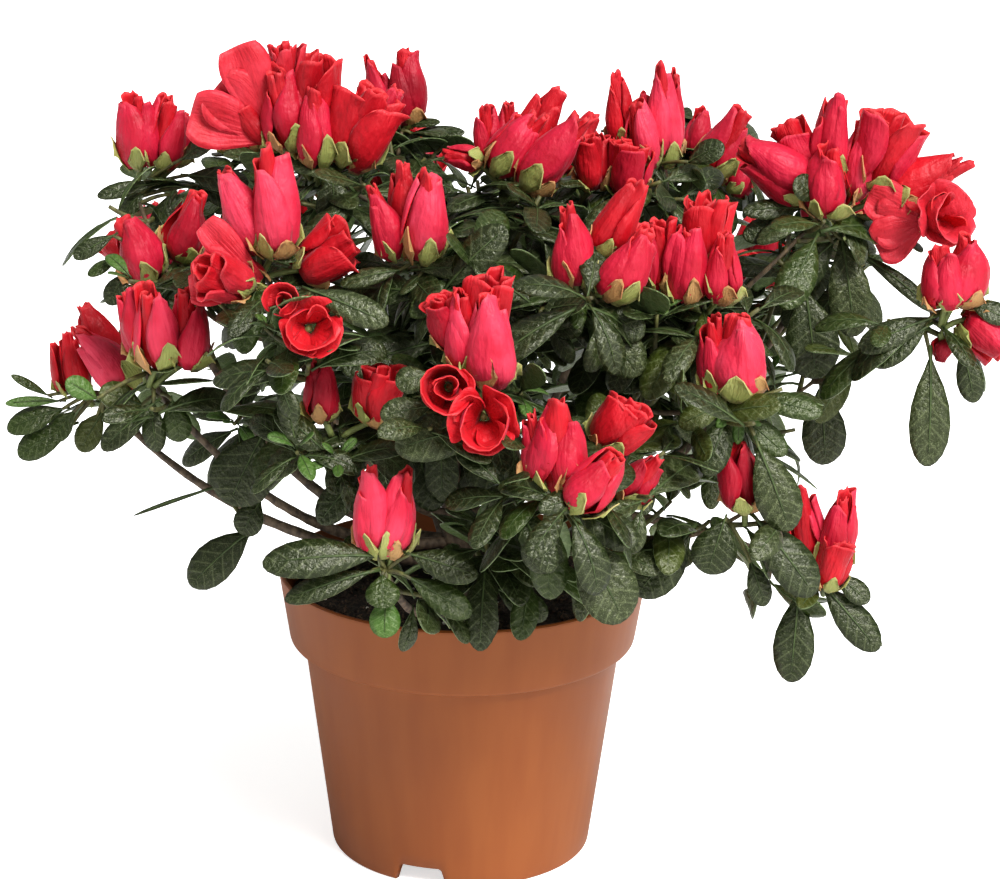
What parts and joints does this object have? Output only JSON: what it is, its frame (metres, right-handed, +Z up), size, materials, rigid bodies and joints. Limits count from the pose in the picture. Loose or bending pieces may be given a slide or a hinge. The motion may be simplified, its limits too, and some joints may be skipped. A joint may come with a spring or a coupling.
{
  "type": "potted azalea shrub",
  "caption": "Low, domed evergreen azalea in bud and bloom, with a short forked stem, spreading boughs and cushions of leaves, growing in peat in a tapered plastic pot.",
  "frame": {"origin": "middle of the pot's underside, on the surface that it stands on", "axes": "+Z up along the pot's axis, -Y towards the side that the plant is seen from, +X to the right in that view"},
  "size_m": [0.3421, 0.3335, 0.295],
  "materials": {
    "pot": "satin terracotta-coloured plastic",
    "peat": "moist dark peat",
    "bark": "thin brown bark",
    "foliage": "dark green leaves with crimson-pink blossom"
  },
  "bodies": {
    "root": {"pot": "pot", "soil": "peat", "trunk": "bark", "left_low_bough": "bark", "front_low_bough": "bark", "right_low_bough": "bark", "back_bough": "bark", "left_front_bough": "bark", "front_right_bough": "bark", "right_bough": "bark", "back_left_bough": "bark", "left_high_bough": "bark", "right_high_bough": "bark", "back_right_bough": "bark", "middle_bough": "bark", "left_crest": "foliage", "crown_left": "foliage", "crown_back_left": "foliage", "crown_middle": "foliage", "crown_right": "foliage", "crown_back": "foliage", "back_left_crest": "foliage", "back_right_crest": "foliage", "right_crest": "foliage", "left_pair": "foliage", "left_front_crest": "foliage", "left_rosette": "foliage", "front_crest": "foliage", "front_right_crest": "foliage", "right_front_crest": "foliage", "far_right": "foliage", "back_right_shoulder": "foliage", "back_shoulder": "foliage", "back_left_shoulder": "foliage", "far_back_left": "foliage", "far_left": "foliage", "left_trio": "foliage", "front_left_pair": "foliage", "front_cluster": "foliage", "front_open_pair": "foliage", "front_right_bud": "foliage", "right_drape": "foliage", "back_right_fall": "foliage", "back_middle_fall": "foliage", "back_left_fall": "foliage", "left_drape": "foliage", "front_low_pair": "foliage", "front_skirt": "foliage", "front_low_cluster": "foliage", "right_skirt": "foliage", "right_low_bud": "foliage", "right_low_trio": "foliage", "back_right_skirt": "foliage", "back_skirt": "foliage", "back_left_skirt": "foliage", "left_back_skirt": "foliage", "heart_front": "foliage", "heart_back": "foliage", "heart_right": "foliage"}
  },
  "joints": []
}
